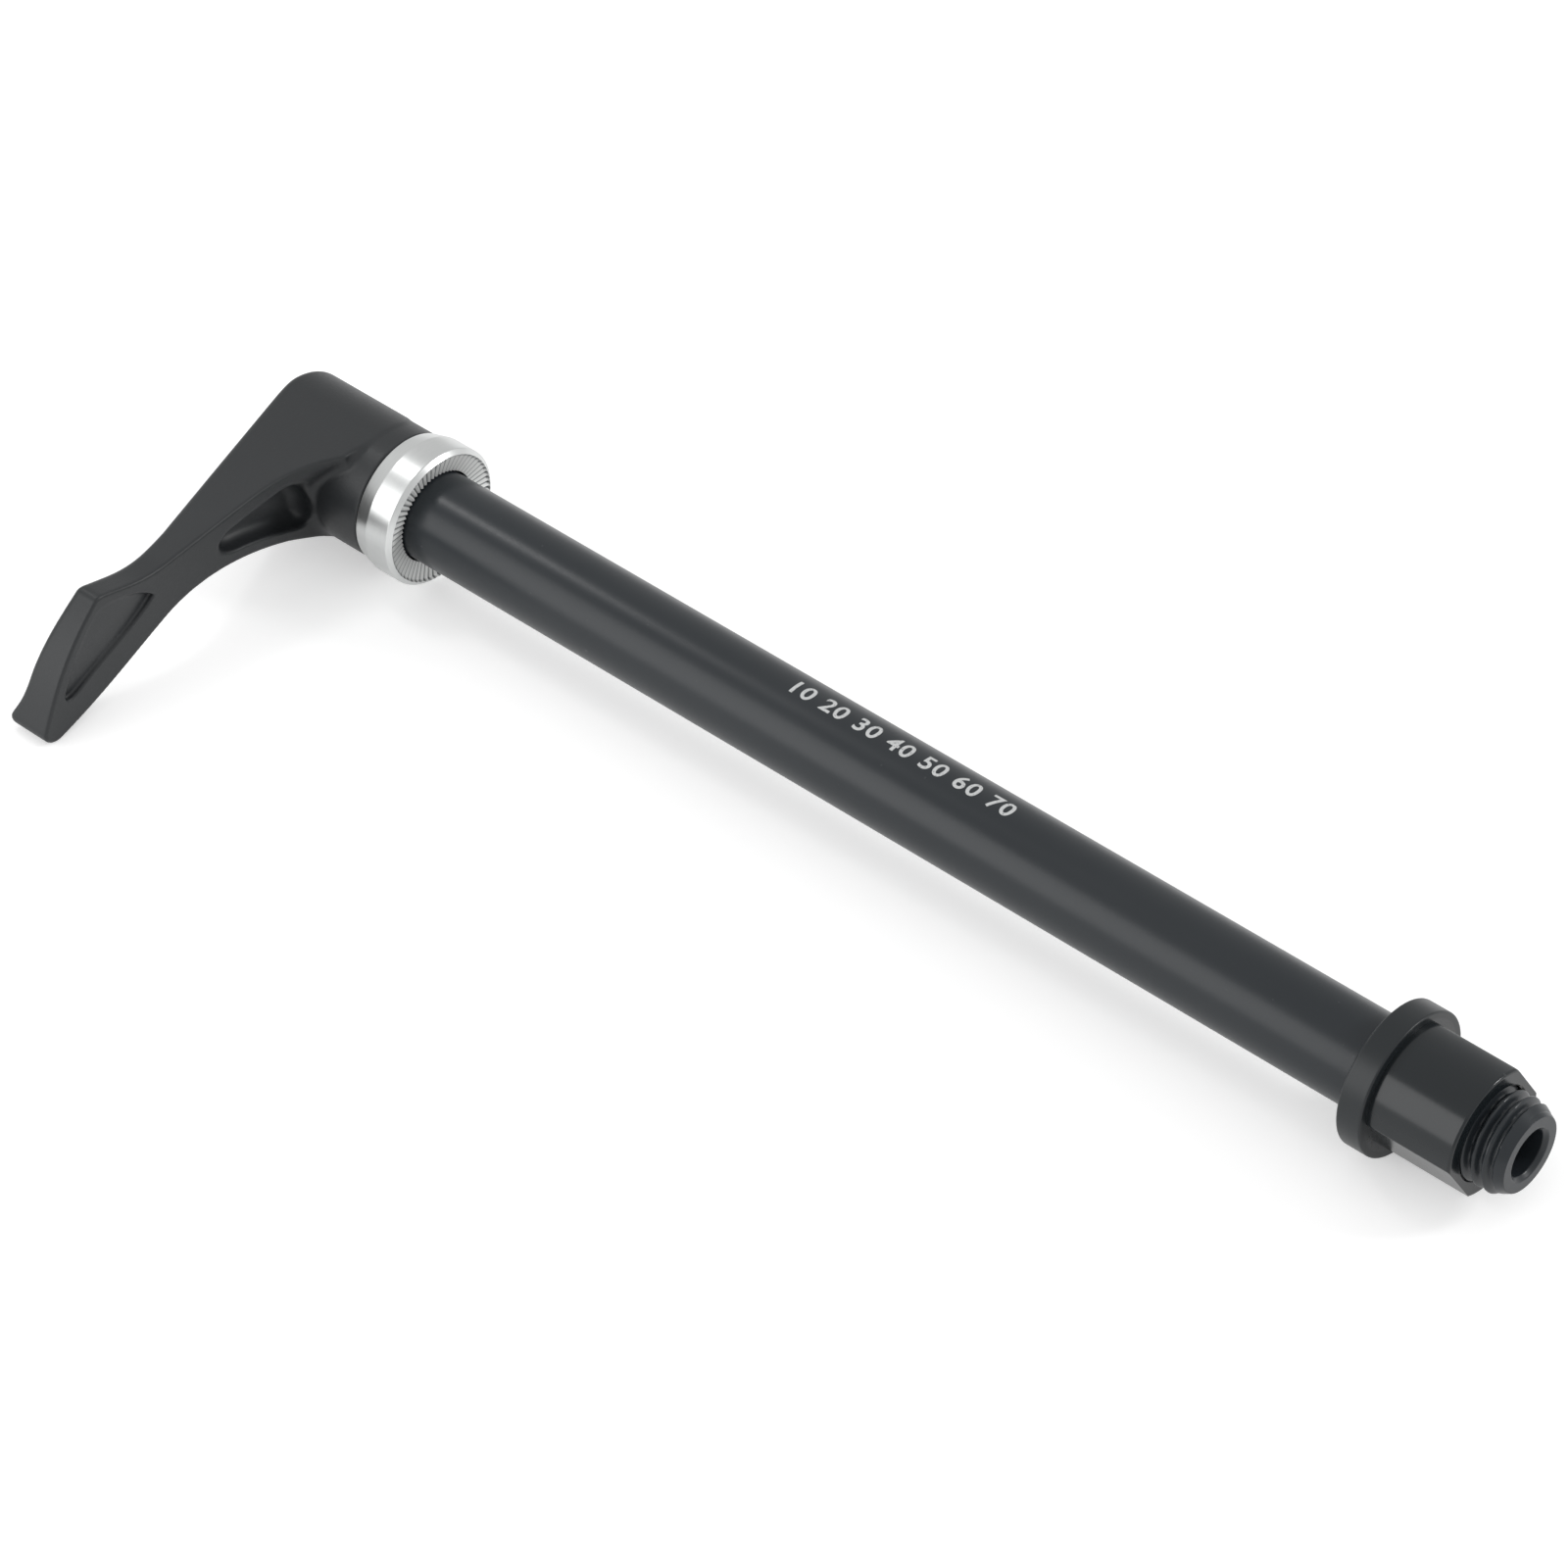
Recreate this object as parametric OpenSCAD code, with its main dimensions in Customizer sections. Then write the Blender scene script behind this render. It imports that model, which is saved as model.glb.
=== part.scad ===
// Bicycle thru axle: a hollow 12 mm shaft with a threaded end, a pull-out
// lever on a splined head, a serrated steel washer and a threaded frame nut.
// Millimetres. X runs along the axle from the head to the thread, Z is up.
// The origin is on the axle's centre line, in the plane of the washer's tooth crests.
// The whole thing lies on a table: washer rim, nut flange and lever tip touch it.

/* [Shaft] */
// Shaft and thread diameter
shaft_d = 12; // [10:0.5:20]
// Length from the washer's toothed face to the threaded tip
axle_len = 168; // [110:1:200]
// Length of the thread
thread_len = 19; // [8:1:30]
// Major diameter of the thread as cut
thread_d = 11.9; // [9.8:0.1:19.9]
// Bore of the hollow shaft
shaft_bore_d = 6; // [3:0.5:9]
// Length of the lead-in cone at the threaded tip
tip_chamfer = 2; // [0.3:0.1:3]

/* [Washer] */
// Rim diameter of the serrated washer and of the nut's flange
rim_d = 18.8; // [16:0.2:24]
// Thickness of the washer
washer_t = 6.2; // [3:0.1:8]
// Hole of the washer
washer_bore_d = 12.5; // [12.2:0.1:14]
// Number of radial teeth
teeth = 62; // [24:2:90]
// Depth of the teeth
tooth_h = 0.45; // [0.2:0.05:0.8]

/* [Lever] */
// Barrel diameter of the lever's head
barrel_d = 17.5; // [15:0.2:22]
// Barrel length
barrel_len = 19.6; // [14:0.2:26]
// Distance from the axle's centre line to the lever's tip
reach = 55.6; // [45:0.2:80]
// Thickness of the paddle
paddle_t = 3.7; // [3:0.1:6]
// Depth of the deep pocket beside the barrel
pocket_deep = 2.6; // [0.5:0.1:3.5]
// Depth of the shallow pocket in the paddle
pocket_shallow = 0.6; // [0.3:0.1:1.8]
// How far the lever pulls out to clear its splines
pull = 5; // [4.9:0.1:5.5]

/* [Head mechanism] */
// Number of splines
splines = 24; // [12:2:36]
// Outer diameter of the splined head
spline_d = 13.8; // [12.5:0.1:14.5]
// Length of the splines
spline_len = 3.8; // [2:0.1:4]
// Spindle that the lever slides on
spindle_d = 8; // [6:0.5:9]
// Wire diameter of the lever spring
wire_d = 0.8; // [0.5:0.1:1.1]
// Turns of the lever spring
spring_turns = 4.5; // [2.5:0.5:5]
// Thread diameter of the retaining screw
screw_d = 5; // [4:0.5:6]

/* [Frame nut] */
// Thickness of the flange
flange_t = 3.4; // [2:0.1:5]
// Overall length of the nut
nut_len = 15; // [8:0.1:18]
// Diameter of the body
nut_body_d = 16.4; // [15:0.1:18]
// Width across the two flats
nut_flats = 14; // [13:0.1:15.5]
// Turn of the flats about the axle, in degrees
flat_turn = 31.4; // [0:0.1:90]

/* [Hidden] */
gap = 0.05;
face_r = rim_d / 2 - 0.3;
dish = 0.6;
arm_x = -14.1;
shaft_r = shaft_d / 2;
rim_r = rim_d / 2;
barrel_r = barrel_d / 2;
barrel_x0 = -washer_t - 0.15;
barrel_x1 = barrel_x0 - barrel_len;
spline_x0 = -washer_t - 1;
spline_x1 = spline_x0 - spline_len;
shoulder_x0 = spline_x1 - 0.2;
shoulder_x1 = shoulder_x0 - 1.6;
cavity_r = 5.9;
seat_x = shoulder_x1 - pull - 3.2;
seat_t = 1;
head_h = 2.5;
nut_x0 = axle_len - 20.1;
bore_x = -5;
$fn = 96;

// A cubic curve through its four control points, without its last point.
function curve(a, b, c, d, n) = [for (i = [0 : n - 1]) let (t = i / n, u = 1 - t)
  u*u*u*a + 3*u*u*t*b + 3*u*t*t*c + t*t*t*d];

// The lever seen along the axle: [distance from the axle, height above its flat middle].
k = reach / 55.6;
lever_outline = concat(
  [[-0.2, barrel_r], [16, barrel_r - 0.1]],
  curve([32*k, barrel_r - 0.25], [37*k, barrel_r - 0.2], [39.5*k, 9.9], [43.1*k, 11.0], 10),
  curve([43.1*k, 11.0], [43.7*k, 11.15], [44.2*k, 11.1], [44.7*k, 10.6], 5),
  curve([44.7*k, 10.6], [49.8*k, 6.6], [52.6*k, 2.6], [reach - 0.1, -3.3], 14),
  curve([reach - 0.1, -3.3], [reach + 0.35, -4.6], [reach - 1.1, -5.7], [53.1*k, -5.45], 8),
  curve([53.1*k, -5.45], [46*k, -4.0], [40*k, -1.45], [34.5*k, 0.4], 12),
  curve([34.5*k, 0.4], [28.5*k, 2.6], [21*k, 1.4], [13*k, -2.5], 12),
  curve([13*k, -2.5], [10.7*k, -3.75], [7.9, -5.5], [5.1, -barrel_r + 1.64], 8),
  [[0, -barrel_r + 2.6]]
);

// The lever's inner face bends towards the barrel near its root.
function inner_x(l) = l < 22 ? min(arm_x + 1.6 * pow((22 - l) / 16, 2), barrel_x0 - 1.5) : arm_x;
outer_x = arm_x - paddle_t;
lever_side = concat(
  [for (l = [0 : 2 : 22]) [inner_x(l), -l]],
  [[arm_x, -reach - 2], [outer_x - 3, -reach - 2], [outer_x - 3, -reach + 0.2]],
  curve([outer_x - 3, -reach + 0.2], [outer_x - 2.6, -reach + 1.2],
    [outer_x - 1.6, -reach + 1.2], [outer_x - 1.4, -reach + 3], 6),
  curve([outer_x - 1.4, -reach + 3], [outer_x - 1.2, -50], [outer_x, -46], [outer_x, -42], 8),
  curve([outer_x, -42], [outer_x - 0.1, -36], [outer_x - 0.3, -33], [outer_x - 1.4, -28], 8),
  [[barrel_x1 + 0.9, -4], [barrel_x1 + 0.8, 0]]
);
deep_pocket = concat(
  curve([13.2, 6.1], [11.2, 6.3], [9.2, 4.6], [9.0, 1.8], 8),
  curve([9.0, 1.8], [8.9, -1.0], [9.2, -2.0], [10.8, -1.6], 8),
  curve([10.8, -1.6], [13.5, -0.6], [16.5, 1.3], [21.4, 2.5], 8),
  curve([21.4, 2.5], [24.2, 3.3], [24.6, 5.3], [21.8, 5.6], 8),
  curve([21.8, 5.6], [19, 5.7], [16, 5.7], [13.2, 6.1], 8)
);
shallow_pocket = concat(
  curve([35.4*k, 5.3], [37*k, 7.3], [40.8*k, 9.2], [43.7*k, 9.5], 8),
  curve([43.7*k, 9.5], [45.6*k, 9.2], [50*k, 3.8], [51.4*k, 0.3], 8),
  curve([51.4*k, 0.3], [51.7*k, -1.1], [50.2*k, -0.9], [48.4*k, 0], 6),
  curve([48.4*k, 0], [44*k, 2], [38*k, 3.4], [35.4*k, 5.3], 8)
);

// The lever hangs until its tip meets the table on which both rims lie.
function lowest(a) = min([for (p = lever_outline) p[1] * cos(a) - p[0] * sin(a)]);
function settle(lo, hi, n) = n == 0 ? (lo + hi) / 2
  : lowest((lo + hi) / 2) > -rim_r ? settle((lo + hi) / 2, hi, n - 1) : settle(lo, (lo + hi) / 2, n - 1);
drop = settle(0, 30, 30);
echo(drop = drop);

// A rod, cone or ring along X that starts at x.
module rod(x, len, r1, r2 = -1) {
  translate([x, 0, 0])
    rotate([0, 90, 0])
      cylinder(h = len, r1 = r1, r2 = r2 < 0 ? r1 : r2);
}

// A star outline with trapezoid teeth, for the splines.
module star(r_root, r_tip, n, fill) {
  polygon([for (i = [0 : n - 1], s = [-0.5, -0.22, 0.22, 0.5])
    let (a = (i + s * fill * 2) * 360 / n, r = abs(s) > 0.3 ? r_root : r_tip) r * [cos(a), sin(a)]]);
}

// A flat outline in [distance, height] taken along X as the lever hangs.
module across(x, len, outline) {
  translate([x, 0, 0])
    rotate([90, 0, 90])
      linear_extrude(len)
        polygon([for (p = outline) [-p[0], p[1]]]);
}

module axle() {
  color([0.22, 0.235, 0.25])
  difference() {
    union() {
      rod(-washer_t, axle_len + washer_t - thread_len, shaft_r);
      rod(axle_len - thread_len - 0.01, thread_len - tip_chamfer + 0.01, thread_d / 2);
      rod(axle_len - tip_chamfer, tip_chamfer, thread_d / 2, shaft_r - 1.1);
      rod(spline_x0, 1, spline_d / 2 + 0.2);
      translate([spline_x1, 0, 0])
        rotate([0, 90, 0])
          linear_extrude(spline_len + 0.2)
            star(spline_d / 2 - 0.8, spline_d / 2, splines, 0.46);
      rod(seat_x, spline_x1 - seat_x + 1, spindle_d / 2);
    }
    rod(bore_x, axle_len - bore_x + 1, shaft_bore_d / 2);
    rod(bore_x - shaft_bore_d / 2 * 0.6, shaft_bore_d / 2 * 0.6 + 0.01, 0.2, shaft_bore_d / 2);
    rod(axle_len - 0.5, 0.51, shaft_bore_d / 2, shaft_bore_d / 2 + 0.5);
    rod(seat_x - 1, 12.2, screw_d / 2 + 0.02);
  }
}

module serrated_washer() {
  color([0.8, 0.81, 0.82])
  difference() {
    union() {
      rod(-washer_t, 2.2, barrel_r + 0.1, rim_r);
      rod(-washer_t + 2.2, washer_t - 2.5, rim_r);
      rod(-0.3, 0.3, rim_r, face_r);
    }
    rod(-washer_t - 1, washer_t + 2, washer_bore_d / 2);
    // the toothed face dishes towards the hole
    rod(-dish, dish + 0.01, washer_bore_d / 2, face_r - 0.5);
    for (i = [0 : teeth - 1])
      rotate([i * 360 / teeth, 0, 0])
        translate([-tooth_h, 0, face_r])
          rotate([0, atan(dish / 2.5), 0])
            translate([0, 0, -3.4])
              linear_extrude(4.5)
                polygon([[0, -0.06], [0, 0.06], [1.4, 0.8], [1.4, -0.8]]);
  }
}

module lever_arm() {
  difference() {
    intersection() {
      across(-30, 24, lever_outline);
      translate([0, 0, -20])
        linear_extrude(40)
          polygon(lever_side);
    }
    across(arm_x - pocket_deep, 12, deep_pocket);
    across(arm_x - pocket_shallow, 8, shallow_pocket);
  }
}

module lever() {
  color([0.2, 0.205, 0.21])
  rotate([drop, 0, 0])
  difference() {
    union() {
      rod(barrel_x1 + 1.1, barrel_len - 1.1, barrel_r);
      rod(barrel_x1, 1.1, barrel_r - 0.9, barrel_r);
      lever_arm();
    }
    rod(spline_x0 - gap, 4, spline_d / 2 + 0.2 + gap);
    translate([shoulder_x0, 0, 0])
      rotate([0, 90, 0])
        linear_extrude(5)
          rotate(-drop)
            star(spline_d / 2 - 0.8 + gap, spline_d / 2 + gap, splines, 0.5);
    rod(shoulder_x1 - 1, 4, spindle_d / 2 + gap);
    rod(barrel_x1 - 1, shoulder_x1 - barrel_x1 + 1, cavity_r);
  }
}

// One loop of points round the spring's wire at step i.
function wire_ring(i, steps, x0, pitch, r, w) = let (a = i * 360 / steps)
  [for (j = [0 : 7]) let (b = j * 45 + 22.5) [
    x0 + pitch * i / steps + w * sin(b),
    (r + w * cos(b)) * cos(a),
    (r + w * cos(b)) * sin(a)]];

module lever_spring() {
  steps = 24;
  count = spring_turns * steps;
  w = wire_d / 2;
  room = shoulder_x1 - seat_x - wire_d - 0.04;
  pts = [for (i = [0 : count]) each wire_ring(i, steps, seat_x + w + 0.02, room / spring_turns, 4.9, w)];
  sides = [for (i = [0 : count - 1], j = [0 : 7]) each [
    [i * 8 + j, (i + 1) * 8 + j, i * 8 + (j + 1) % 8],
    [i * 8 + (j + 1) % 8, (i + 1) * 8 + j, (i + 1) * 8 + (j + 1) % 8]]];
  ends = [[for (j = [0 : 7]) j], [for (j = [7 : -1 : 0]) count * 8 + j]];
  color([0.6, 0.61, 0.62])
    polyhedron(points = pts, faces = concat(sides, ends), convexity = 8);
}

module spring_seat() {
  color([0.7, 0.7, 0.7])
  difference() {
    rod(seat_x - seat_t, seat_t, cavity_r - 0.2);
    rod(seat_x - seat_t - 1, seat_t + 2, screw_d / 2 + 0.1);
  }
}

module retaining_screw() {
  x = seat_x - seat_t;
  color([0.25, 0.25, 0.26])
  difference() {
    union() {
      rod(x - head_h, head_h - 1.2, 3.6, 4.7);
      rod(x - 1.2, 1.2, 4.7);
      rod(x - 0.5, 11, screw_d / 2);
    }
    translate([x - head_h - 1, 0, 0])
      rotate([0, 90, 0])
        cylinder(h = 2.5, r = 1.5 / cos(30), $fn = 6);
  }
}

module frame_nut() {
  x1 = nut_x0 + flange_t;
  x2 = nut_x0 + nut_len;
  color([0.17, 0.18, 0.19])
  difference() {
    union() {
      rod(nut_x0, 0.3, rim_r - 0.3, rim_r);
      rod(nut_x0 + 0.3, flange_t - 0.5, rim_r);
      rod(x1 - 0.2, 0.2, rim_r, rim_r - 0.2);
      rod(x1 - 1, nut_len - flange_t + 0.7, nut_body_d / 2);
      rod(x2 - 0.3, 0.3, nut_body_d / 2, nut_body_d / 2 - 0.3);
    }
    for (s = [0, 180])
      rotate([flat_turn + s, 0, 0])
        translate([x1, nut_flats / 2, -15])
          cube([20, 10, 30]);
    rod(nut_x0 - 1, nut_len + 2, thread_d / 2 + gap);
    rod(x2 - 0.6, 0.61, thread_d / 2 + gap, shaft_r + 0.6);
    rod(nut_x0 - 1, axle_len - thread_len - nut_x0 + 1.3, shaft_r + gap);
    rod(nut_x0 - 0.01, 0.61, shaft_r + 0.6, shaft_r);
  }
}

axle();
serrated_washer();
lever();
lever_spring();
spring_seat();
retaining_screw();
frame_nut();
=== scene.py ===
# %% [markdown]
# # A bicycle thru axle
# The axle goes through a wheel's hub and screws into a nut in the frame.
# Its solids come from the CAD model and stay where they are. This script dresses
# them: it makes each piece again as a fine surface, in the same place, and gives
# each one the finish of the real metal.

# %% Load the frame
import bpy, bmesh
import numpy as np
from mathutils import Matrix, Vector


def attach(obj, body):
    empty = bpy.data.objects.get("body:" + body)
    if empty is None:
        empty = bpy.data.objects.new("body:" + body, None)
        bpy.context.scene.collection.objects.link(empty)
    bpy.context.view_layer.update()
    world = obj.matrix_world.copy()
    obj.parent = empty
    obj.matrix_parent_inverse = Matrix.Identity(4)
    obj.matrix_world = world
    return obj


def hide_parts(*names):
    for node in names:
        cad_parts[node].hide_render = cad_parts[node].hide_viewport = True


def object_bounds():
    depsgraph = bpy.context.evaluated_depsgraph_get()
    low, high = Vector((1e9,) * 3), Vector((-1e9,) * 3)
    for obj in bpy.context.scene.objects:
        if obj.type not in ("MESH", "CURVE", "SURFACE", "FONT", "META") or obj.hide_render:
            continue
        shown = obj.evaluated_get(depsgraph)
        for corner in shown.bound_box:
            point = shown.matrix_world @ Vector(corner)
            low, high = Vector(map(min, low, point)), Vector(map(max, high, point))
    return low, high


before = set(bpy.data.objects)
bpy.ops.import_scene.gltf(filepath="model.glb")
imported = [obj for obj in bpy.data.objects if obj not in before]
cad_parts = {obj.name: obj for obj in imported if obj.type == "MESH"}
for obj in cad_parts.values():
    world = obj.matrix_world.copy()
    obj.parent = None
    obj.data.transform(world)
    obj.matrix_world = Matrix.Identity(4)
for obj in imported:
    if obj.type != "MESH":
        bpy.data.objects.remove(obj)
cad_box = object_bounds()
MM = 0.001

# %% [markdown]
# ## Camera
# The photo looks down on the axle from the side of its threaded end. A long lens
# far away keeps the shaft's two edges almost parallel. The place and the three
# directions of the camera were fitted to the circles of washer, flange and tip.

# %% Camera
FOCAL_PIXELS, PHOTO_PIXELS, SENSOR_MM = 6500, 1600, 36
PLACE = (0.439164, -0.421960, 0.508702)
RIGHT = Vector((0.747276, 0.664434, -0.010321))
UP = Vector((-0.442102, 0.508700, 0.738763))
BACK = Vector((0.496110, -0.547496, 0.673886))
camera_data = bpy.data.cameras.new("camera")
camera_data.sensor_width = SENSOR_MM
camera_data.lens = FOCAL_PIXELS / PHOTO_PIXELS * SENSOR_MM
camera_data.clip_end = 20
camera = bpy.data.objects.new("camera", camera_data)
turn = Matrix((RIGHT.normalized(), UP.normalized(), BACK.normalized())).transposed()
camera.matrix_world = Matrix.Translation(PLACE) @ turn.to_4x4()
bpy.context.collection.objects.link(camera)
bpy.context.scene.camera = camera
bpy.context.scene.view_settings.view_transform = "Standard"
print("lens", round(camera_data.lens, 1), "mm")

# %% [markdown]
# ## Shader maths
# A material is easier to read as a sum than as a web of nodes. The class `S` wraps
# a socket, and `a * b + 1` then adds the Math nodes. Any other node comes from
# `Finish.node`, which sets the node's settings first and its sockets after that.

# %% Sockets as numbers
class S:
    """A number that varies over a surface, held as a node's output socket."""

    def __init__(self, finish, socket):
        self.finish, self.socket = finish, socket

    def maths(self, operation, *others):
        return self.finish.node("ShaderNodeMath", dict(operation=operation), *others)

    def __add__(self, other): return self.maths("ADD", self, other)
    def __radd__(self, other): return self.maths("ADD", other, self)
    def __sub__(self, other): return self.maths("SUBTRACT", self, other)
    def __rsub__(self, other): return self.maths("SUBTRACT", other, self)
    def __mul__(self, other): return self.maths("MULTIPLY", self, other)
    def __truediv__(self, other): return self.maths("DIVIDE", self, other)
    def clipped(self): return self.maths("MAXIMUM", self.maths("MINIMUM", self, 1.0), 0.0)

    def between(self, low, high):
        """0 up to low, 1 from high on, and straight between them."""
        return ((self - low) / (high - low)).clipped()


class Finish:
    """One material, its node tree and the sockets that its nodes are wired to."""

    def __init__(self, name):
        self.material = bpy.data.materials.new(name)
        self.material.use_nodes = True
        self.tree = self.material.node_tree
        self.tree.nodes.clear()
        self.place = self.node("ShaderNodeTexCoord", {}, output="Object")

    def node(self, kind, settings, *values, output=0, **named):
        node = self.tree.nodes.new(kind)
        for key, value in settings.items():
            setattr(node, key, value)
        by_name = [(k.replace("_", " "), v) for k, v in named.items()]
        for key, value in list(enumerate(values)) + by_name:
            if isinstance(value, S):
                self.tree.links.new(value.socket, node.inputs[key])
            else:
                node.inputs[key].default_value = value
        return S(self, node.outputs[output])

    def noise(self, scale, detail=3.0, stretch=(1, 1, 1), rough=0.5):
        """Noise that is `stretch` times finer along each axis."""
        spot = self.node("ShaderNodeMapping", {}, self.place, Scale=stretch)
        return self.node("ShaderNodeTexNoise", {}, Vector=spot, Scale=scale, Detail=detail, Roughness=rough)

    def mix(self, factor, first, second):
        """The colour `first`, going over to `second` where factor nears 1."""
        node = self.tree.nodes.new("ShaderNodeMix")
        node.data_type = "RGBA"
        for socket, value in ((node.inputs[0], factor), (node.inputs[6], first), (node.inputs[7], second)):
            if isinstance(value, S):
                self.tree.links.new(value.socket, socket)
            else:
                socket.default_value = (*value, 1) if isinstance(value, tuple) else value
        return S(self, node.outputs[2])

    def bump(self, height, depth):
        """A normal tipped as if the surface rose by `depth` metres where height is 1."""
        return self.node("ShaderNodeBump", {}, Height=height, Distance=depth)

    def surface(self, **sockets):
        shader = self.node("ShaderNodeBsdfPrincipled", {}, **sockets)
        self.finish_with(shader)
        return self.material

    def finish_with(self, shader):
        output = self.tree.nodes.new("ShaderNodeOutputMaterial")
        self.tree.links.new(shader.socket, output.inputs["Surface"])

    def around_x(self):
        """Place along the axle's line, distance from it in millimetres, and angle about it."""
        parts = self.tree.nodes.new("ShaderNodeSeparateXYZ")
        self.tree.links.new(self.place.socket, parts.inputs[0])
        x, y, z = (S(self, parts.outputs[k]) * 1000.0 for k in range(3))
        square = y * y + z * z
        return x, square.maths("SQRT", square), z.maths("ARCTAN2", z, y)


# %% [markdown]
# ## Finishes
# Black anodised aluminium isn't painted. It is a clear oxide, a few hundredths of
# a millimetre thick and dyed from inside, so the tool marks under it still show.
# It is modelled as a dark dielectric with soft gloss: the shaft was drawn and
# turned, so its marks run round it, and the lever was blasted, so it is grainy.

# %% Anodised finishes
BUFFED_R = 8.35


def turned_black(name, dark, light, rough, ring_depth, ior, polish=(0, 0)):
    """Dyed oxide on turned metal: rings from the tool, soft blotches and a few nicks.

    `polish` is (how much smoother, from which x on) for a part of it that was
    buffed, as far out as BUFFED_R.
    """
    f = Finish(name)
    rings = f.noise(420.0, 4.0, (14, 0.6, 0.6), 0.65)
    blotch = f.noise(55.0, 4.0, (0.5, 1, 1))
    grain = f.noise(5200.0, 2.0)
    nick = f.noise(900.0, 2.0).between(0.74, 0.8)
    colour = f.mix((blotch * 0.7 + grain * 0.3).between(0.3, 0.7), dark, light)
    colour = f.mix(nick * 0.25, colour, (0.12, 0.125, 0.13))
    roughness = rough + (rings - 0.5) * 0.10 + (blotch - 0.5) * 0.08
    if polish[0]:
        x, radius, _ = f.around_x()
        buffed = x.between(polish[1], polish[1] + 0.2) * (1.0 - radius.between(BUFFED_R, BUFFED_R + 0.25))
        roughness = roughness - buffed * polish[0]
    normal = f.bump(rings * 0.7 + grain * 0.3, ring_depth)
    return f.surface(Base_Color=colour, Roughness=roughness, Normal=normal, Metallic=0.0, IOR=ior)


def blasted_black(name, dark, light, rough):
    """Dyed oxide on blasted and forged metal: an even fine grain, no direction."""
    f = Finish(name)
    grain = f.noise(2600.0, 3.0, rough=0.6)
    fine = f.noise(9000.0, 2.0)
    blotch = f.noise(60.0, 4.0)
    colour = f.mix((blotch * 0.6 + grain * 0.4).between(0.3, 0.7), dark, light)
    speck = fine.between(0.70, 0.78)
    colour = f.mix(speck * 0.35, colour, (0.10, 0.105, 0.11))
    roughness = rough + (grain - 0.5) * 0.16 + (blotch - 0.5) * 0.08
    normal = f.bump(grain * 0.7 + fine * 0.3, 0.000022)
    return f.surface(Base_Color=colour, Roughness=roughness, Normal=normal, Metallic=0.0, IOR=1.45)


SHAFT_BLACK = turned_black("anodised_shaft", (0.016, 0.020, 0.024), (0.021, 0.025, 0.029),
                           rough=0.31, ring_depth=0.0000008, ior=1.42)
NUT_BLACK = turned_black("anodised_nut", (0.010, 0.013, 0.015), (0.013, 0.0165, 0.019),
                         rough=0.36, ring_depth=0.0000005, ior=1.45, polish=(0.18, 151.2))
LEVER_BLACK = blasted_black("anodised_lever", (0.018, 0.020, 0.022), (0.023, 0.0255, 0.0275), rough=0.43)
print("anodised finishes:", SHAFT_BLACK.name, NUT_BLACK.name, LEVER_BLACK.name)

# %% [markdown]
# The washer is bare: bright metal straight from the lathe, so it mirrors the studio
# in long soft bands and only fine rings break them. The spring and its seat are
# plain steel, and the screw is steel blackened in an oil bath.

# %% Bare metals
def turned_bright(name, dark, light, rough, ring_depth, teeth=0):
    """Bare turned metal with fine rings and a faint haze.

    With teeth, the milled face is duller, and its grooves get painted shade, a darker grey in the base
    colour: angle * teeth / turn counts them, and its fraction is 0.5 where a tooth is cut deepest.
    """
    f = Finish(name)
    rings = f.noise(700.0, 3.0, (10, 0.8, 0.8), 0.6)
    haze = f.noise(180.0, 4.0)
    colour = f.mix((rings * 0.5 + haze * 0.5).between(0.3, 0.7), dark, light)
    roughness = rough + (rings - 0.5) * 0.05 + (haze - 0.5) * 0.04
    metallic = 1.0
    if teeth:
        x, radius, angle = f.around_x()
        milled = x.between(-1.5, -1.3) * (1.0 - radius.between(8.70, 8.76))
        count = angle * (teeth / (2 * np.pi))
        phase = count.maths("FRACT", count)
        # painted shade: a darker grey in the base colour across the middle of each groove
        groove_shade = phase.between(0.28, 0.42) * (1.0 - phase.between(0.58, 0.72)) * milled
        colour = f.mix(milled, colour, (0.86, 0.87, 0.86))
        colour = f.mix(groove_shade, colour, (0.25, 0.26, 0.265))
        roughness = roughness + milled * 0.14
        metallic = 1.0 - milled * 0.65
    return f.surface(Base_Color=colour, Roughness=roughness, Normal=f.bump(rings, ring_depth),
                     Metallic=metallic)


TEETH = 62
WASHER_BRIGHT = turned_bright("machined_washer", (0.655, 0.67, 0.665), (0.72, 0.73, 0.725),
                              rough=0.33, ring_depth=0.0000004, teeth=TEETH)
SPRING_STEEL = turned_bright("spring_steel", (0.45, 0.45, 0.46), (0.58, 0.58, 0.58),
                             rough=0.28, ring_depth=0.000002)
SCREW_BLACK = turned_black("black_screw", (0.022, 0.022, 0.023), (0.034, 0.034, 0.034),
                           rough=0.42, ring_depth=0.000003, ior=1.5)


def printed(name, colour):
    """Thin light ink with pinholes and a slightly uneven coat."""
    f = Finish(name)
    cover = f.noise(4200.0, 3.0).between(0.30, 0.42)
    return f.surface(Base_Color=f.mix(cover, (0.16, 0.165, 0.17), colour), Roughness=0.5 + cover * 0.1)


MARK_INK = printed("mark_ink", (0.56, 0.57, 0.57))
print("bare metals and ink ready")

# %% [markdown]
# ## Surfaces from grids
# A turned part is a profile spun about a line: its points are a grid with one row
# for each point of the profile and one column for each angle. What isn't round,
# such as a thread, a flat or a spline, only changes the radius over that grid.

# %% Grid helpers
def grid_faces(rows, columns, closed_rows):
    """Four-cornered faces between grid neighbours. Columns always close into a ring."""
    steps = rows if closed_rows else rows - 1
    i, j = np.meshgrid(np.arange(steps), np.arange(columns), indexing="ij")
    i2, j2 = (i + 1) % rows, (j + 1) % columns
    corners = [i * columns + j, i * columns + j2, i2 * columns + j2, i2 * columns + j]
    return np.stack(corners, -1).reshape(-1, 4)


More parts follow.
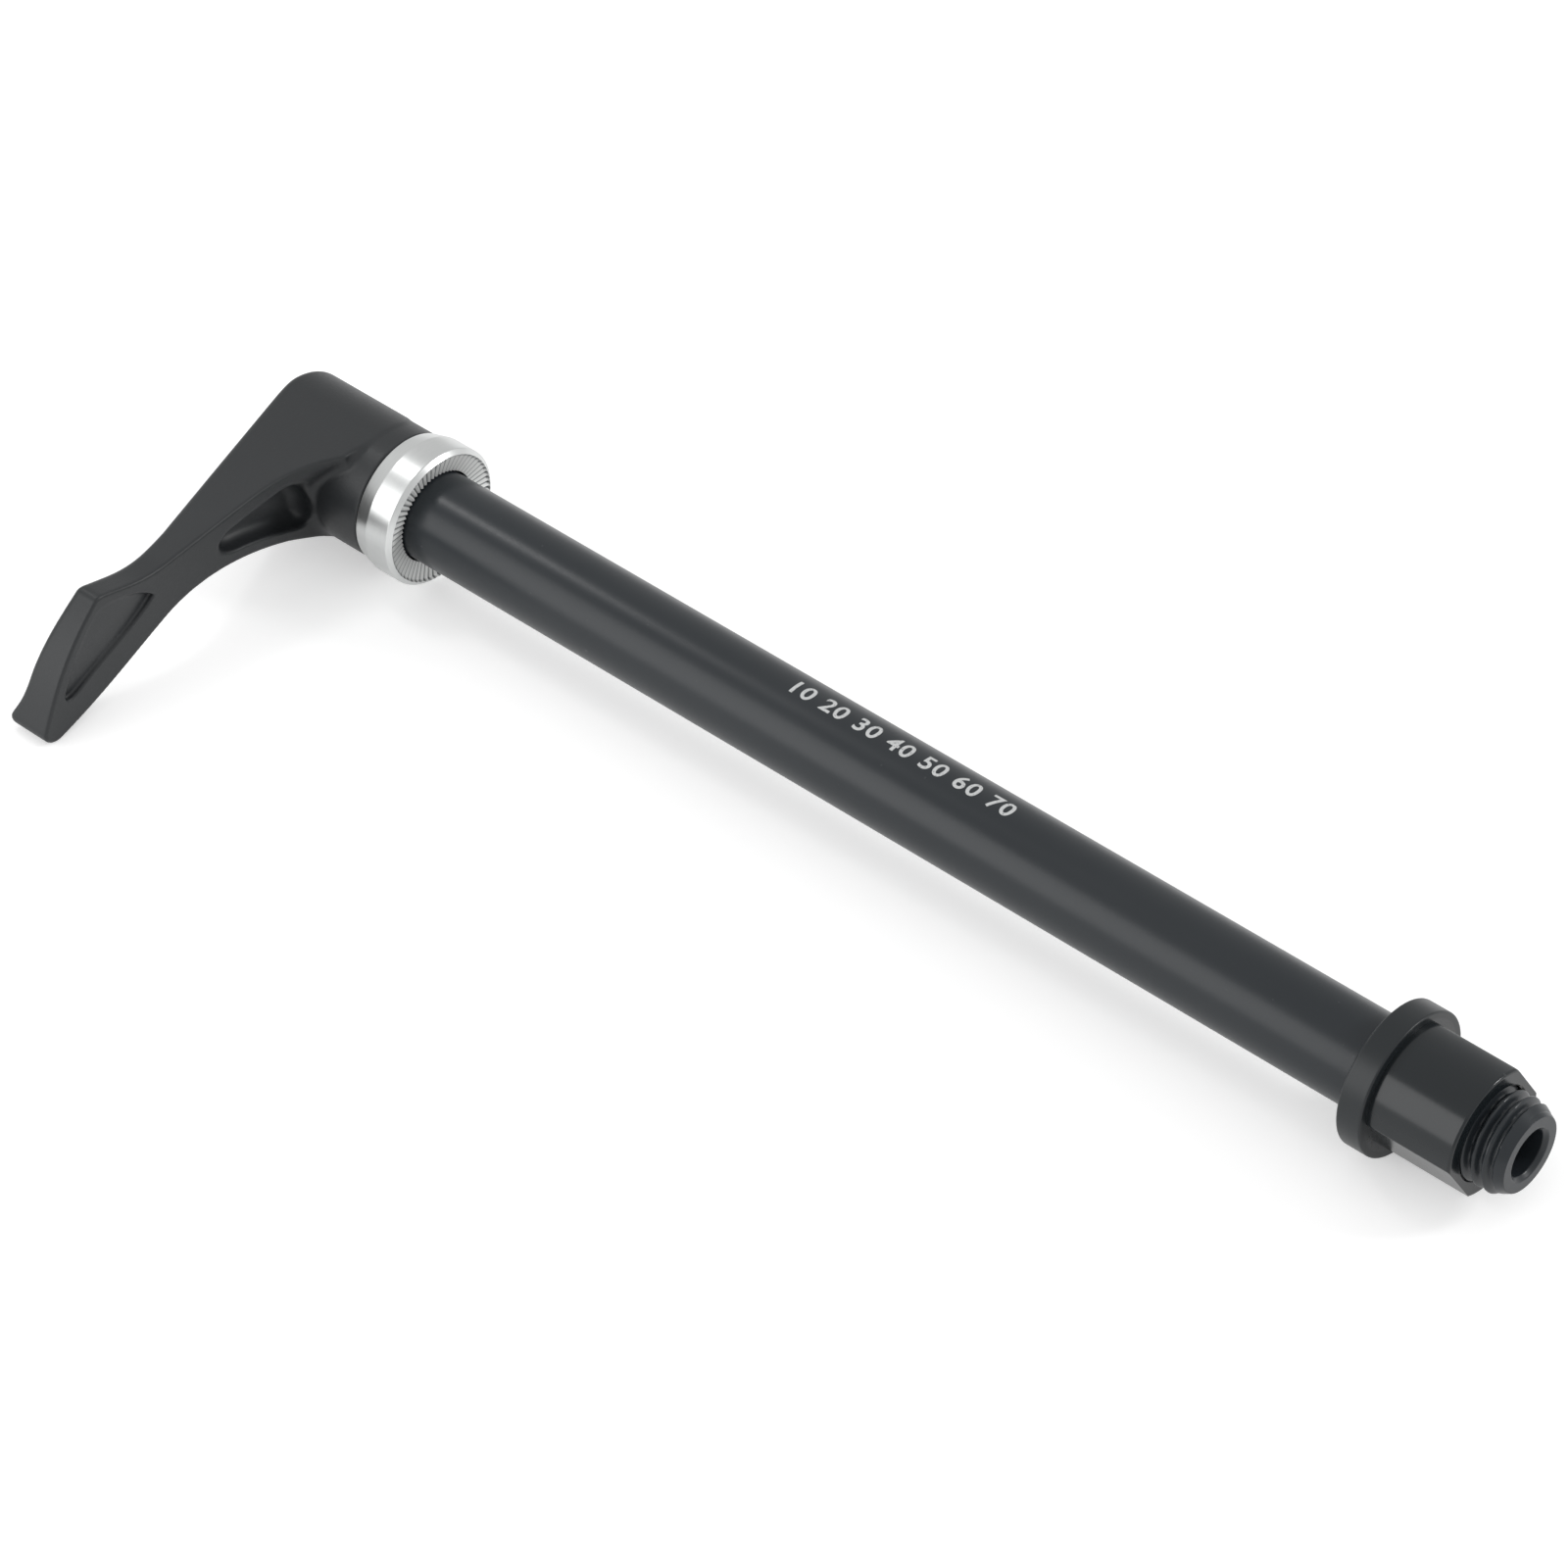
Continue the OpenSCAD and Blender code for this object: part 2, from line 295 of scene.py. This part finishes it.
def eased(corners, steps=5):
    """A profile with rounded corners.

    Each corner is (x, r, size). It becomes a parabola that starts `size` before
    the corner and ends `size` after it: (1-t)^2 a + 2t(1-t) b + t^2 c, with a point
    just outside each end that keeps the flat beside it flat.
    """
    c = np.array(corners, float)
    out = [c[0, :2]]
    for before, here, after in zip(c[:-2], c[1:-1], c[2:]):
        to_a, to_c = before[:2] - here[:2], after[:2] - here[:2]
        la, lc = np.hypot(*to_a), np.hypot(*to_c)
        size = min(here[2], 0.45 * la, 0.45 * lc)
        if size < 1e-6:
            out.append(here[:2])
            continue
        a, b, d = here[:2] + to_a / la * size, here[:2], here[:2] + to_c / lc * size
        t = np.linspace(0, 1, steps)[:, None]
        out.append(a + to_a / la * min(0.05, 0.04 * la))
        out.extend((1 - t) ** 2 * a + 2 * t * (1 - t) * b + t ** 2 * d)
        out.append(d + to_c / lc * min(0.05, 0.04 * lc))
    out.append(c[-1, :2])
    return np.array(out)


def spun(x, r, columns):
    """Points (x, r cos a, r sin a) in metres. x and r are one value a row, or whole grids."""
    a = np.arange(columns) * 2 * np.pi / columns
    x, r = (np.broadcast_to(v if v.ndim == 2 else v[:, None], (len(v), columns)) for v in (x, r))
    return np.stack([x, r * np.cos(a), r * np.sin(a)], -1).reshape(-1, 3) * MM


def make_piece(name, points, faces, body, nodes, slot, material, angle=32):
    """A mesh with its doubled points merged, put on its body in place of CAD nodes.

    Edges that turn by more than `angle` degrees stay sharp.
    """
    mesh = bpy.data.meshes.new(name)
    mesh.from_pydata(points.tolist(), [], faces.tolist())
    work = bmesh.new()
    work.from_mesh(mesh)
    bmesh.ops.remove_doubles(work, verts=work.verts, dist=2e-7)
    bmesh.ops.dissolve_degenerate(work, edges=work.edges, dist=1e-8)
    bmesh.ops.recalc_face_normals(work, faces=work.faces)
    work.to_mesh(mesh)
    work.free()
    mesh.polygons.foreach_set("use_smooth", np.ones(len(mesh.polygons), bool))
    mesh.set_sharp_from_angle(angle=np.radians(angle))
    piece = bpy.data.objects.new(name, mesh)
    bpy.context.collection.objects.link(piece)
    mesh.materials.append(material)
    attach(piece, body)
    if nodes:
        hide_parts(*nodes)
    size = (points.max(0) - points.min(0)) * 1000
    print(f"{name}: {len(mesh.polygons)} faces, {np.round(size, 2).tolist()} mm")


def turned_piece(name, x, r, columns, closed, *rest):
    """A piece from a spun profile. A closed one ends where it starts, as a ring does."""
    make_piece(name, spun(x, r, columns), grid_faces(len(r), columns, closed), *rest)


# %% [markdown]
# ## Thread
# The thread is metric, 12 mm with a pitch of 1.5 mm. Seen along the axle it is a
# wave that moves on by one pitch in a turn, so depth depends on x / pitch minus
# angle / turn. Axle and nut share one formula, and so they mesh at every pose.

# %% Thread
PITCH, THREAD_DEPTH = 1.5, 0.8


def thread_groove(x, angle):
    """How deep the thread is cut, 0 at its crest and 1 at its root.

    The wave is a triangle of x / pitch - angle / turn, with its tips cut flat at
    crest and root and then eased, as on a rolled thread.
    """
    phase = (x / PITCH - angle / (2 * np.pi)) % 1
    wave = np.abs(phase - 0.5) * 2
    cut = np.clip((0.92 - wave) / 0.80, 0, 1)
    return 0.15 * cut + 0.85 * cut * cut * (3 - 2 * cut)


print("the thread is cut", THREAD_DEPTH, "mm deep")

# %% [markdown]
# ## Axle
# The axle is one bar of aluminium: splined head, collar, shaft, thread and a bore.
# One profile runs from the screw hole in the head, along the outside, over the tip
# and back through the bore, so the mesh is closed. The splines and the thread are
# cut into that grid as changes of radius.

# %% Axle
THREAD_START, CREST_R, SPLINES, SPLINE_DEPTH = 149.0, 5.95, 24, 0.8
COLUMNS = 192
angles = np.arange(COLUMNS) * 2 * np.pi / COLUMNS
head = eased([(-9.8, 0, 0), (-9.8, 2.52, 0), (-21, 2.52, 0.15), (-21, 4.0, 0.3), (-11.0, 4.0, 0.25),
              (-11.0, 6.9, 0.25), (-7.2, 6.9, 0), (-7.2, 7.1, 0.12), (-6.2, 7.1, 0.12), (-6.2, 6.0, 0),
              (148.0, 6.0, 0)])
thread_x = np.arange(148.4, 166.0, 0.1)
thread = np.stack([thread_x, np.where(thread_x < THREAD_START, 6.0, CREST_R)], 1)
cone_x = np.arange(166.0, 168.0, 0.1)
cone = np.stack([cone_x, CREST_R - 1.05 * (cone_x - 166.0) / 2.0], 1)
tip = eased([(167.9, 4.95, 0), (168.0, 4.9, 0.2), (168.0, 3.5, 0.12), (167.5, 3.0, 0.12), (-5.0, 3.0, 0),
             (-6.8, 0.0, 0)])
profile = np.concatenate([head, thread, cone, tip])
count_out = len(head) + len(thread) + len(cone)
x, r = profile[:, :1], profile[:, 1:]
outside = (np.arange(len(profile)) < count_out + 3)[:, None]
spline = ((x > -11.01) & (x < -7.19) & (r > 4.6) & outside) * 1.0
notch = (np.abs((angles * SPLINES / (2 * np.pi)) % 1 - 0.5) * 2 - 0.35) / 0.3
r_grid = r - spline * SPLINE_DEPTH * np.clip(1 - notch, 0, 1)
cut = np.clip((x - THREAD_START) / 1.2, 0, 1) * outside
threaded = CREST_R - THREAD_DEPTH * thread_groove(x, angles) * cut
r_grid = np.where((x > THREAD_START) & outside, np.minimum(r_grid, threaded), r_grid)
turned_piece("axle_bar", profile[:, 0], r_grid, COLUMNS, False,
             "axle", ["axle"], "anodised_shaft", SHAFT_BLACK)

# %% [markdown]
# ## Frame nut
# A threaded sleeve with a round flange. Two flats on its body keep it from turning
# in the slot of the frame. The flats are straight chords of the circle: their
# radius at an angle is the flat's distance divided by the cosine of that angle.

# %% Frame nut
NUT_COLUMNS, NUT_START, FLANGE, NUT_LENGTH = 360, 147.9, 3.4, 15.0
FLAT_TURN, FLAT_DISTANCE, BODY_R, NUT_BORE_R = np.radians(31.4), 7.0, 8.2, 6.0
nut_front, nut_end = NUT_START + FLANGE, NUT_START + NUT_LENGTH
nut_angles = np.arange(NUT_COLUMNS) * 2 * np.pi / NUT_COLUMNS
flat_radius = FLAT_DISTANCE / np.maximum(np.abs(np.cos(nut_angles - FLAT_TURN)), 0.05)
outer = eased([(NUT_START + 0.6, 6.06, 0), (NUT_START, 6.6, 0.1), (NUT_START, 9.4, 0.3),
               (nut_front, 9.4, 0.25), (nut_front, BODY_R + 0.05, 0), (nut_front, BODY_R, 0),
               (nut_end, BODY_R, 0.35), (nut_end, 6.2, 0.05), (nut_end - 0.2, NUT_BORE_R, 0)])
bore_x = np.arange(nut_end - 0.3, 149.6, -0.12)
bore = np.stack([bore_x, np.full(len(bore_x), NUT_BORE_R)], 1)
relief = np.array([[149.5, 6.06], [149.2, 6.06]])
profile = np.concatenate([outer, bore, relief])
x, r = profile[:, :1], profile[:, 1:]
r_grid = np.broadcast_to(r, (len(profile), NUT_COLUMNS)).copy()
on_outside = (np.arange(len(profile)) < len(outer))[:, None]
on_body = (x > nut_front - 0.001) & on_outside & (r < BODY_R + 0.03) & (r > FLAT_DISTANCE)
r_grid = np.where(on_body, np.minimum(r_grid, flat_radius), r_grid)
inner = ~on_outside & (x > 149.55)
lead_in = np.clip((nut_end - 0.4 - x) / 0.7, 0, 1)
r_grid = np.where(inner, NUT_BORE_R - THREAD_DEPTH * thread_groove(x, nut_angles) * lead_in, r_grid)
turned_piece("frame_nut_body", profile[:, 0], r_grid, NUT_COLUMNS, True,
             "nut", ["frame_nut"], "anodised_nut", NUT_BLACK)

# %% [markdown]
# ## Serrated washer
# Some sixty radial teeth bite into the frame so that the axle can't work loose.
# They are milled as V grooves across a dished face, about half as deep as they are
# wide, and run out just inside the chamfer that was turned on the rim.

# %% Serrated washer
PER_TOOTH, TOOTH_DEPTH, DISH, RIM_R = 8, 0.47, 0.6, 8.8
WASHER_COLUMNS = TEETH * PER_TOOTH
washer_angles = np.arange(WASHER_COLUMNS) * 2 * np.pi / WASHER_COLUMNS
tooth_wave = np.abs(((washer_angles * TEETH / (2 * np.pi)) % 1) - 0.5) * 2
back = eased([(-0.9, 6.25, 0), (-6.2, 6.25, 0.2), (-6.2, 8.85, 0.12), (-4.0, 9.4, 0.1),
              (-0.55, 9.4, 0.1), (0.0, RIM_R, 0)])
face_r = np.concatenate([np.linspace(8.79, 8.1, 15), np.linspace(8.0, 6.35, 14), [6.25]])
dished = -DISH * np.clip((RIM_R - face_r) / 2.55, 0, 1)
run_out = np.clip((8.78 - face_r) / 0.35, 0, 1)
depth = TOOTH_DEPTH * (face_r / 9.0) * run_out * (2 - run_out)
face_x = dished[:, None] - depth[:, None] * (1 - tooth_wave)
x_grid = np.concatenate([np.broadcast_to(back[:, :1], (len(back), WASHER_COLUMNS)), face_x])
r_all = np.concatenate([back[:, 1], face_r])
# the first row, in the hole, stays behind the grooves
x_grid[0] = np.minimum(face_x[-1] - 0.05, -0.9)
turned_piece("serrated_ring", x_grid, r_all, WASHER_COLUMNS, True,
             "washer", ["serrated_washer"], "machined_washer", WASHER_BRIGHT, 24)

# %% [markdown]
# ## Lever
# The lever is forged, so its faces flow into each other with small radii and no
# grid follows them all. It is worked out as a field instead: for any point, the
# distance to the barrel, to the arm's outline and to its pockets, joined with
# rounded edges. The surface is where the field is zero.

# %% Outlines of the lever
def curve(a, b, c, d, count=24):
    """A cubic curve through a and d, pulled by b and c, without its last point."""
    t = np.arange(count)[:, None] / count
    a, b, c, d = (np.array(p, float) for p in (a, b, c, d))
    return (1 - t) ** 3 * a + 3 * (1 - t) ** 2 * t * b + 3 * (1 - t) * t * t * c + t ** 3 * d


ARM_X, OUTER_X, BARREL_R, BARREL_X0, BARREL_X1 = -14.1, -17.8, 8.75, -6.35, -25.95
# seen along the axle: [distance from the axle, height]
lever_outline = np.concatenate([
    [[-0.2, 8.75], [16, 8.65]],
    curve([32, 8.5], [37, 8.4], [39.5, 9.9], [43.1, 11.0]),
    curve([43.1, 11.0], [43.7, 11.15], [44.2, 11.1], [44.7, 10.6], 6),
    curve([44.7, 10.6], [49.8, 6.6], [52.6, 2.6], [55.5, -3.3]),
    curve([55.5, -3.3], [55.95, -4.6], [54.5, -5.7], [53.1, -5.45], 10),
    curve([53.1, -5.45], [46, -4.0], [40, -1.45], [34.5, 0.4]),
    curve([34.5, 0.4], [28.5, 2.6], [21, 1.4], [13, -2.5]),
    curve([13, -2.5], [10.7, -3.75], [7.9, -5.5], [5.1, -7.11], 12),
    [[0, -6.15]]])
# the outer face seen from above, with the barrel's end: [x, distance from the axle]
outer_face = np.concatenate([
    [[10, -14], [10, 62], [OUTER_X - 3, 62]],
    curve([OUTER_X - 3, 55.4], [OUTER_X - 2.6, 54.4], [OUTER_X - 1.6, 54.4], [OUTER_X - 1.4, 52.6], 12),
    curve([OUTER_X - 1.4, 52.6], [OUTER_X - 1.2, 50], [OUTER_X, 46], [OUTER_X, 42], 16),
    curve([OUTER_X, 42], [OUTER_X - 0.1, 36], [OUTER_X - 0.3, 33], [OUTER_X - 1.3, 28], 16),
    curve([-25.0, 4], [-25.55, 1.7], [BARREL_X1, 0.2], [BARREL_X1, -2], 12),
    [[BARREL_X1, -14]]])
deep_pocket = np.concatenate([
    curve([13.2, 6.1], [11.2, 6.3], [9.2, 4.6], [9.0, 1.8], 12),
    curve([9.0, 1.8], [8.9, -1.0], [9.2, -2.0], [10.8, -1.6], 12),
    curve([10.8, -1.6], [13.5, -0.6], [16.5, 1.3], [21.4, 2.5], 12),
    curve([21.4, 2.5], [24.2, 3.3], [24.6, 5.3], [21.8, 5.6], 12),
    curve([21.8, 5.6], [19, 5.7], [16, 5.7], [13.2, 6.1], 12)])
leaf_pocket = np.concatenate([
    curve([35.4, 5.3], [37, 7.3], [40.8, 9.2], [43.7, 9.5], 12),
    curve([43.7, 9.5], [45.6, 9.2], [50, 3.8], [51.4, 0.3], 12),
    curve([51.4, 0.3], [51.7, -1.1], [50.2, -0.9], [48.4, 0], 12),
    curve([48.4, 0], [44, 2], [38, 3.4], [35.4, 5.3], 12)])
print("lever outline", len(lever_outline), "points, pockets", len(deep_pocket), "and", len(leaf_pocket))

# %% [markdown]
# Outlines that cross make the lever: one seen along the axle, which is a circle
# with the arm on it, and one seen from above. `rounded_both` keeps what is inside
# both and rounds the edge to a circle, and `rounded_either` joins with a fillet.

# %% Distances
def from_outline(u, v, outline):
    """Distance to a closed outline, below zero inside.

    For each side, the nearest point is the foot of the perpendicular, held between
    the side's ends. A point is inside if a line from it crosses an odd number of sides.
    """
    shape = np.broadcast(u, v).shape
    nearest, inside = np.full(shape, 1e9), np.zeros(shape, bool)
    for (ua, va), (ub, vb) in zip(outline, np.roll(outline, -1, 0)):
        du, dv = ub - ua, vb - va
        if du == dv == 0:
            continue
        t = np.clip(((u - ua) * du + (v - va) * dv) / (du * du + dv * dv), 0, 1)
        nearest = np.minimum(nearest, (u - ua - t * du) ** 2 + (v - va - t * dv) ** 2)
        if dv != 0:
            inside ^= ((va > v) != (vb > v)) & (u < ua + (v - va) * du / dv)
    return np.sqrt(nearest) * np.where(inside, -1, 1)


def rounded_both(a, b, radius):
    """What is inside a and inside b, with their edge rounded."""
    near_edge = np.hypot(np.maximum(a + radius, 0), np.maximum(b + radius, 0))
    return np.minimum(np.maximum(a, b), -radius) + near_edge


def rounded_either(a, b, radius):
    """What is inside a or inside b, with a fillet between them."""
    return -rounded_both(-a, -b, radius)


def eased_step(t):
    """0 below t = 0, 1 above t = 1, and 3t^2 - 2t^3 between."""
    t = np.clip(t, 0, 1)
    return t * t * (3 - 2 * t)


# the deep pocket's floor, the corner and direction from which the shallow pocket's
# floor is tilted, and the steps of the hole through the barrel
DEEP_FLOOR, LEAF_CORNER, LEAF_ACROSS = ARM_X - 2.6, (35.4, 5.3), (0.378, 0.926)
CAVITY_R, SHOULDER_X, SPINDLE_R = 5.9, -12.8, 4.05
SPLINE_R, SPLINE_X, MOUTH_R, MOUTH_X = 6.95, -11.2, 7.15, -7.25


def lever_field(x, l, n):
    """Distance to the lever's surface, below zero inside.

    x runs along the axle, l away from it and n up, in millimetres. What is seen
    along the axle is cut off by the arm's inner and outer faces. The inner face
    bends towards the washer where its upper edge nears the barrel. The pockets are
    outlines cut down to a floor, and what is bored out of the barrel is cylinders.
    """
    radius, angle = np.hypot(l, n), np.arctan2(n, l)
    seen = np.minimum(from_outline(l, n, lever_outline), radius - BARREL_R)
    flare = 3.6 * (np.clip(22 - l, 0, 16.5) / 16) ** 3.4 * eased_step((n - 2.5) / 5.5)
    inner = rounded_either(x - ARM_X - flare, radius - BARREL_R, 1.25)
    outer = from_outline(x, l, outer_face)
    deep = rounded_both(from_outline(l, n, deep_pocket), DEEP_FLOOR - x, 1.8)
    across = (l - LEAF_CORNER[0]) * LEAF_ACROSS[0] + (n - LEAF_CORNER[1]) * LEAF_ACROSS[1]
    leaf_depth = (0.5 + 0.4 * ((l - 43.0) / 8) ** 2) * (1 - across / 6.0)
    leaf = rounded_both(from_outline(l, n, leaf_pocket), ARM_X - leaf_depth - x, 0.3)
    body = rounded_both(seen, inner, 0.35)
    body = rounded_both(body, outer, 1.0)
    body = rounded_both(body, x - BARREL_X0, 0.25)
    body = rounded_both(body, -deep, 0.25 + 1.0 * eased_step((n - 2.0) / 3.5))
    body = rounded_both(body, -leaf, 0.2)
    spline_wave = np.clip((np.abs((angle * SPLINES / (2 * np.pi)) % 1 - 0.5) * 2 - 0.35) / 0.3, 0, 1)
    splined = radius - SPLINE_R + 0.75 * (1 - spline_wave)
    hollow = np.maximum(radius - CAVITY_R, x - SHOULDER_X)
    hollow = np.minimum(hollow, radius - SPINDLE_R)
    hollow = np.minimum(hollow, np.maximum(splined, SPLINE_X - x))
    hollow = np.minimum(hollow, np.maximum(radius - MOUTH_R, MOUTH_X - x))
    return rounded_both(body, -hollow, 0.12)


# %% [markdown]
# The field is sampled on a lattice, and each cell that the surface crosses gets one
# point, in the middle of its crossings. Four cells share a crossed lattice edge, so
# their points make a face. Each point is then moved onto the surface along the
# field's slope, which removes the steps of the lattice.

# %% Surface of a field
def slope(field, p, h=0.01):
    """The field and its slope at points p, from one small step along each axis."""
    here = field(*p.T)
    steps = [field(*(p + h * np.eye(3)[k]).T) - here for k in range(3)]
    return here, np.stack(steps, 1) / h


def skin(field, low, high, step):
    """Points and faces where the field is zero."""
    axes = [np.arange(a, b + step, step) for a, b in zip(low, high)]
    value = field(axes[0][:, None, None], axes[1][None, :, None], axes[2][None, None, :])
    inside = value < 0
    cells = tuple(n - 1 for n in value.shape)
    total, count = np.zeros(cells + (3,)), np.zeros(cells)
    quads = []
    index = np.indices(value.shape).astype(float)
    for k in range(3):
        a = tuple(slice(None, -1) if m == k else slice(None) for m in range(3))
        b = tuple(slice(1, None) if m == k else slice(None) for m in range(3))
        cross = inside[a] != inside[b]
        share = np.where(cross, value[a] / np.where(cross, value[a] - value[b], 1), 0)
        others = [m for m in range(3) if m != k]
        for da in (0, 1):
            for db in (0, 1):
                take = [slice(None)] * 3
                take[others[0]] = slice(da, da - 1 if da == 0 else None)
                take[others[1]] = slice(db, db - 1 if db == 0 else None)
                take = tuple(take)
                hit = cross[take]
                count += hit
                for m in range(3):
                    total[..., m] += hit * (index[m][a][take] + (share[take] if m == k else 0))
        i = np.argwhere(cross)
        i = i[(i[:, others[0]] > 0) & (i[:, others[1]] > 0)]
        u, v = np.eye(3, dtype=int)[others[0]], np.eye(3, dtype=int)[others[1]]
        quads.append(np.stack([i, i - u, i - u - v, i - v], 1))
    used = count > 0
    number = np.cumsum(used.ravel()).reshape(cells) - 1
    p = total[used] / count[used][:, None] * step + np.array([ax[0] for ax in axes])
    faces = np.concatenate([number[tuple(np.moveaxis(q, -1, 0))] for q in quads])
    for _ in range(2):
        here, grad = slope(field, p)
        move = -here[:, None] * grad / np.maximum((grad ** 2).sum(1), 0.25)[:, None]
        p = p + np.clip(move, -0.6 * step, 0.6 * step)
    return p, faces


# the lever hangs by this angle until its tip meets the table, 9.4 mm below the axle
TABLE_Z = -9.4
drops = np.radians(np.linspace(0, 8, 8001))[:, None]
lowest = (lever_outline[:, 1] * np.cos(drops) - lever_outline[:, 0] * np.sin(drops)).min(1)
DROP = drops[np.argmin(np.abs(lowest - TABLE_Z)), 0]
print("the lever hangs by", round(float(np.degrees(DROP)), 3), "degrees")
lever_points, lever_faces = skin(lever_field, (-26.6, -9.2, -9.2), (-6.0, 56.4, 11.6), 0.25)
# no point stands past the barrel's end
lever_points[:, 0] = np.maximum(lever_points[:, 0], BARREL_X1)


def hung(p):
    """From (x, distance, height) of the lever to the frame's axes."""
    y, z = -p[:, 1], p[:, 2]
    sine, cosine = np.sin(DROP), np.cos(DROP)
    return np.stack([p[:, 0], y * cosine - z * sine, y * sine + z * cosine], 1)


make_piece("lever_body", hung(lever_points) * MM, lever_faces,
           "lever", ["lever"], "anodised_lever", LEVER_BLACK, 60)

# %% [markdown]
# ## Spring seat and screw
# They sit inside the barrel, and only its open end shows them. The screw's hex
# socket is a grid too: its radius is that of a hexagon.

# %% Spring seat and screw
seat = eased([(-22, 2.7, 0), (-22, 5.7, 0.2), (-21, 5.7, 0.2), (-21, 2.6, 0.1), (-22, 2.6, 0.1),
              (-22, 2.7, 0)])
turned_piece("spring_washer", seat[:, 0], seat[:, 1], 96, True,
             "axle", ["spring_seat"], "spring_steel", SPRING_STEEL)
screw = eased([(-11.5, 0, 0), (-11.5, 2.3, 0.2), (-11.9, 2.48, 0), (-22, 2.48, 0), (-22, 4.7, 0.2),
               (-23.2, 4.7, 0.2), (-24.5, 3.6, 0.3), (-24.5, 2.0, 0.1), (-24.2, 1.72, 0),
               (-23.0, 1.72, 0), (-22.6, 0, 0)])
SCREW_COLUMNS, SOCKET_HALF = 144, 1.5
x, r = screw[:, :1], screw[:, 1:]
screw_angles = np.arange(SCREW_COLUMNS) * 2 * np.pi / SCREW_COLUMNS
hexagon = SOCKET_HALF / np.cos((screw_angles + np.pi / 6) % (np.pi / 3) - np.pi / 6)
socket = (x < -22.9) & (r < 1.9)
turned_piece("head_screw", screw[:, 0], np.where(socket, hexagon, r), SCREW_COLUMNS, False,
             "axle", ["retaining_screw"], "black_screw", SCREW_BLACK)
spring_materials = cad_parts["lever_spring"].data.materials
spring_materials.clear()
spring_materials.append(SPRING_STEEL)

# %% [markdown]
# ## Numbers on the shaft
# A row of plain numbers is printed along the shaft. Letters as wide as these must
# bend round the metal, so the text is cut into narrow strips first. Its height then
# becomes an angle, and its depth becomes the radius.

# %% Numbers
text = bpy.data.curves.new("numbers", "FONT")
text.body = "10 20 30 40 50 60 70"
text.size, text.offset, text.extrude = 3.3 * MM, 0.06 * MM, 0.02 * MM
text.space_character, text.resolution_u = 1.12, 6
text_object = bpy.data.objects.new("numbers", text)
flat = bpy.data.meshes.new_from_object(text_object)
work = bmesh.new()
work.from_mesh(flat)
bmesh.ops.remove_doubles(work, verts=work.verts, dist=1e-6)
for height in np.arange(0.1, 3.0, 0.1) * MM:
    everything = work.verts[:] + work.edges[:] + work.faces[:]
    bmesh.ops.bisect_plane(work, geom=everything, plane_co=(0, height, 0), plane_no=(0, 1, 0))
bmesh.ops.triangulate(work, faces=work.faces[:])
work.to_mesh(flat)
work.free()
p = np.empty(len(flat.vertices) * 3)
flat.vertices.foreach_get("co", p)
p = p.reshape(-1, 3) * 1000
START_X, END_X, BASE_ANGLE, SHAFT_R, INK = 58.5, 92.5, np.radians(97.5), 6.0, 0.012
length = p[:, 0].max() - p[:, 0].min()
along = START_X + (p[:, 0] - p[:, 0].min()) * (END_X - START_X) / length
around = BASE_ANGLE - p[:, 1] / SHAFT_R
radius = SHAFT_R - 0.02 + (p[:, 2] > 0) * (INK + 0.02)
p = np.stack([along, radius * np.cos(around), radius * np.sin(around)], 1) * MM
faces = np.array([tuple(face.vertices) for face in flat.polygons])
make_piece("shaft_numbers", p, faces, "axle", [], "anodised_shaft", MARK_INK)

# %% [markdown]
# ## Floor and light
# The photo has a white ground and soft light, so almost nothing casts a shadow. The
# floor is pale paper that also glows a little, for the camera and for what mirrors
# it. The glow lights nothing else, and the paper keeps a faint shadow of the axle.

# %% Floor
floor_mesh = bpy.data.meshes.new("floor")
FLOOR_Z, GREY_FLOOR = cad_box[0][2] - 0.00005, 0.8
corners = [(-3, -3, FLOOR_Z), (3, -3, FLOOR_Z), (3, 3, FLOOR_Z), (-3, 3, FLOOR_Z)]
floor_mesh.from_pydata(corners, [], [(0, 1, 2, 3)])
floor = bpy.data.objects.new("floor", floor_mesh)
bpy.context.collection.objects.link(floor)
f = Finish("floor_paper")
path = f.tree.nodes.new("ShaderNodeLightPath")
seen = S(f, path.outputs["Is Camera Ray"])
mirrored = S(f, path.outputs["Is Glossy Ray"]) + S(f, path.outputs["Is Transmission Ray"])
paper = f.node("ShaderNodeBsdfDiffuse", {}, Color=(GREY_FLOOR, GREY_FLOOR, GREY_FLOOR, 1))
glow = f.node("ShaderNodeEmission", {}, Color=(1, 1, 1, 1), Strength=seen * 0.42 + mirrored * 0.3)
f.finish_with(f.node("ShaderNodeAddShader", {}, paper, glow))
floor_mesh.materials.append(f.material)


# %% Light
def softbox(name, position, size, power, target=(0.07, 0, 0)):
    """A lamp of size metres and power watts that faces `target`."""
    lamp = bpy.data.lights.new(name, "AREA")
    lamp.shape, lamp.energy = "RECTANGLE", power
    lamp.size, lamp.size_y = size
    holder = bpy.data.objects.new(name, lamp)
    holder.location = position
    holder.rotation_euler = (Vector(target) - Vector(position)).to_track_quat("-Z", "Y").to_euler()
    bpy.context.collection.objects.link(holder)


softbox("left_box", (-0.28, -0.62, 0.29), (0.5, 0.6), 1.95)
softbox("head_lamp", (-0.16, -0.01, 0.25), (0.05, 0.05), 0.08, (0, 0, 0))
softbox("edge_lamp", (0.75, 0.60, 0.52), (0.2, 0.2), 3.0, (0, 0, 0))
world = bpy.data.worlds.new("studio")
world.use_nodes = True
background = world.node_tree.nodes["Background"]
background.inputs["Color"].default_value = (1, 1, 1, 1)
background.inputs["Strength"].default_value = 0.71
bpy.context.scene.world = world
print("floor at", round(FLOOR_Z * 1000, 3), "mm")
